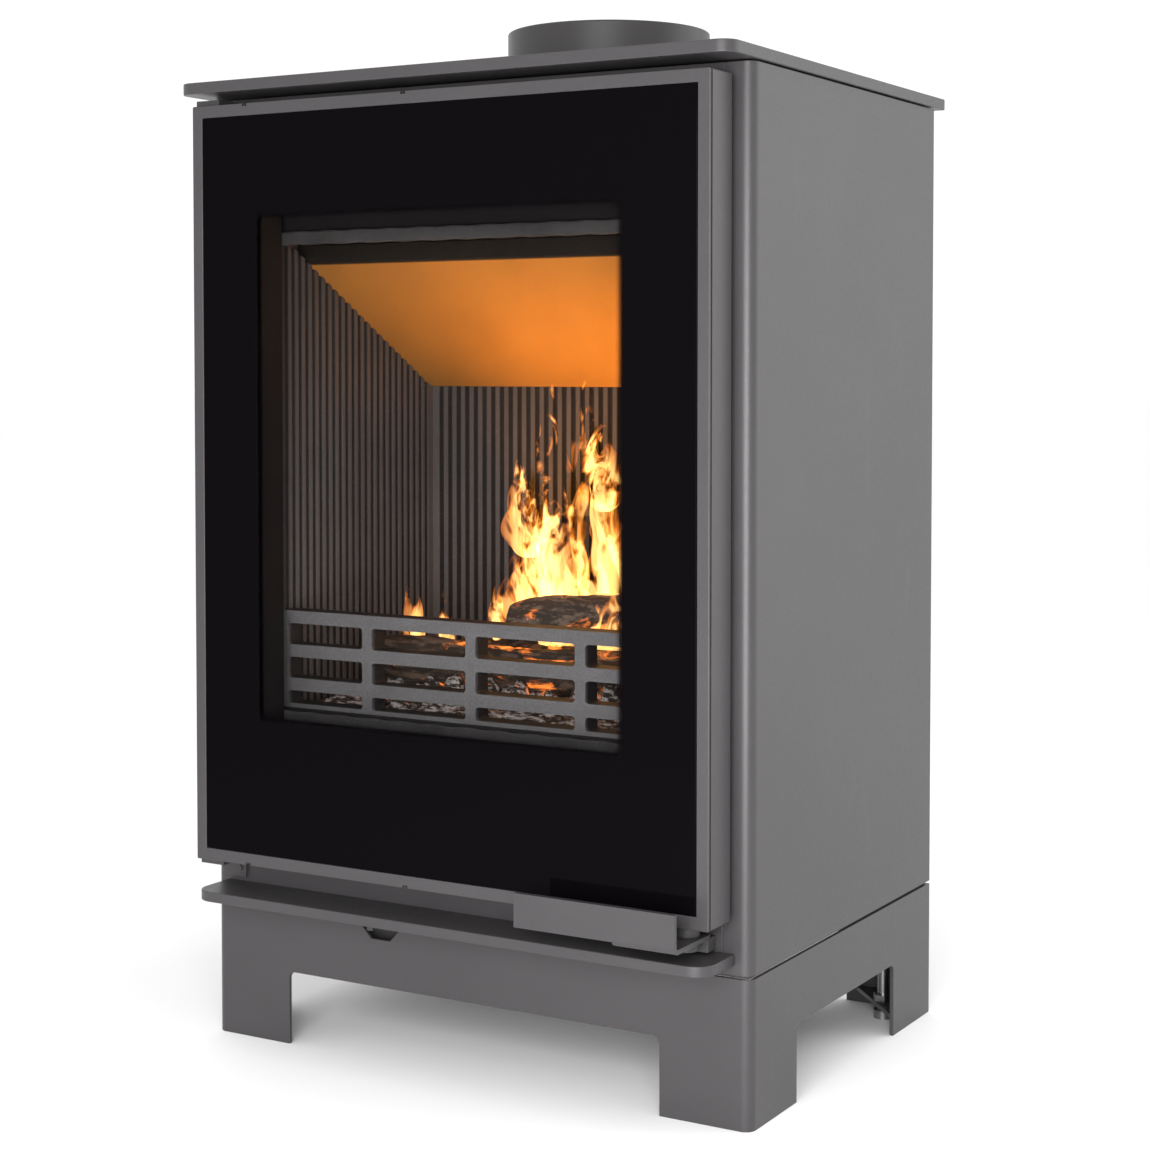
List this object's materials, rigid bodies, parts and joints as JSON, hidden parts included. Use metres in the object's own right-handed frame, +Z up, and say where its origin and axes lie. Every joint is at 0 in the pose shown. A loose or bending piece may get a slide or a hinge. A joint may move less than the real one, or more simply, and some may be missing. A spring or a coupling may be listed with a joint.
{
  "type": "wood burning stove",
  "caption": "Free-standing wood burning stove on a plinth, with a glazed side-hinged door, lined firebox, log guard, ash pan, air lever and top flue collar.",
  "frame": {"origin": "on the floor, at the middle of the overall box", "axes": "+X to the right as seen from the front, the door faces -Y, +Z up"},
  "size_m": [0.434, 0.382, 0.7295],
  "materials": {
    "stove_paint": "satin",
    "black_steel": "matte",
    "firebrick": "matte",
    "cast_iron": "matte",
    "ceramic_glass": "gloss",
    "rope_seal": "matte",
    "zinc_steel": "satin"
  },
  "bodies": {
    "stove": {"base_frame": "stove_paint", "base_plate": "stove_paint", "corner_gussets": "stove_paint", "foot_lock_nuts": "zinc_steel", "side_panel_left": "stove_paint", "side_panel_right": "stove_paint", "rear_panel": "stove_paint", "rear_panel_screws": "zinc_steel", "front_plate": "stove_paint", "mouth_rim": "stove_paint", "top_plate": "stove_paint", "flue_collar": "stove_paint", "collar_bolts": "zinc_steel", "ash_lip": "stove_paint", "firebox_wall_left": "black_steel", "firebox_wall_right": "black_steel", "firebox_wall_rear": "black_steel", "firebox_roof": "black_steel", "firebox_floor": "black_steel", "lining_left": "firebrick", "lining_right": "firebrick", "lining_rear": "firebrick", "air_manifold": "black_steel", "hearth_plate": "firebrick", "fire_grate": "cast_iron", "baffle": "firebrick", "ash_box": "black_steel", "ash_pan": "black_steel", "ash_pan_grip": "black_steel", "hinge_bracket_upper": "stove_paint", "hinge_bracket_lower": "stove_paint", "hinge_rivets": "zinc_steel", "latch_keeper": "stove_paint", "air_inlet_plate": "black_steel", "air_slide_straps": "black_steel", "lever_guard": "black_steel"},
    "door": {"door_frame": "stove_paint", "door_liner": "black_steel", "door_glass": "ceramic_glass", "glass_gasket": "rope_seal", "door_seal": "rope_seal", "glass_clips": "zinc_steel", "glass_clip_screws": "zinc_steel", "hinge_pin_upper": "zinc_steel", "hinge_pin_lower": "zinc_steel"},
    "handle": {"handle_lever": "stove_paint", "handle_pivot_pin": "zinc_steel", "handle_spacer": "zinc_steel", "handle_cam": "zinc_steel"},
    "log_retainer": {"log_retainer": "cast_iron"},
    "air_lever": {"air_lever": "stove_paint"},
    "foot_front_left": {"levelling_foot_front_left": "zinc_steel"},
    "foot_front_right": {"levelling_foot_front_right": "zinc_steel"},
    "foot_rear_left": {"levelling_foot_rear_left": "zinc_steel"},
    "foot_rear_right": {"levelling_foot_rear_right": "zinc_steel"}
  },
  "joints": [
    {"name": "door_hinge", "type": "hinge", "parent": "stove", "child": "door", "pos_m": [-0.196, -0.149, 0.3995], "axis": [0, 0, -1], "range_deg": [0, 110]},
    {"name": "handle_pivot", "type": "hinge", "parent": "door", "child": "handle", "pos_m": [0.18, -0.151, 0.125], "axis": [0, 0, 1], "range_deg": [0, 30]},
    {"name": "log_retainer_lift", "type": "slide", "parent": "stove", "child": "log_retainer", "axis": [0, 0, 1], "range_m": [0, 0.1]},
    {"name": "air_lever_slide", "type": "slide", "parent": "stove", "child": "air_lever", "axis": [1, 0, 0], "range_m": [-0.003, 0.017]},
    {"name": "levelling_front_left", "type": "slide", "parent": "stove", "child": "foot_front_left", "axis": [0, 0, -1], "range_m": [0, 0.012]},
    {"name": "levelling_front_right", "type": "slide", "parent": "stove", "child": "foot_front_right", "axis": [0, 0, -1], "range_m": [0, 0.012]},
    {"name": "levelling_rear_left", "type": "slide", "parent": "stove", "child": "foot_rear_left", "axis": [0, 0, -1], "range_m": [0, 0.012]},
    {"name": "levelling_rear_right", "type": "slide", "parent": "stove", "child": "foot_rear_right", "axis": [0, 0, -1], "range_m": [0, 0.012]}
  ]
}
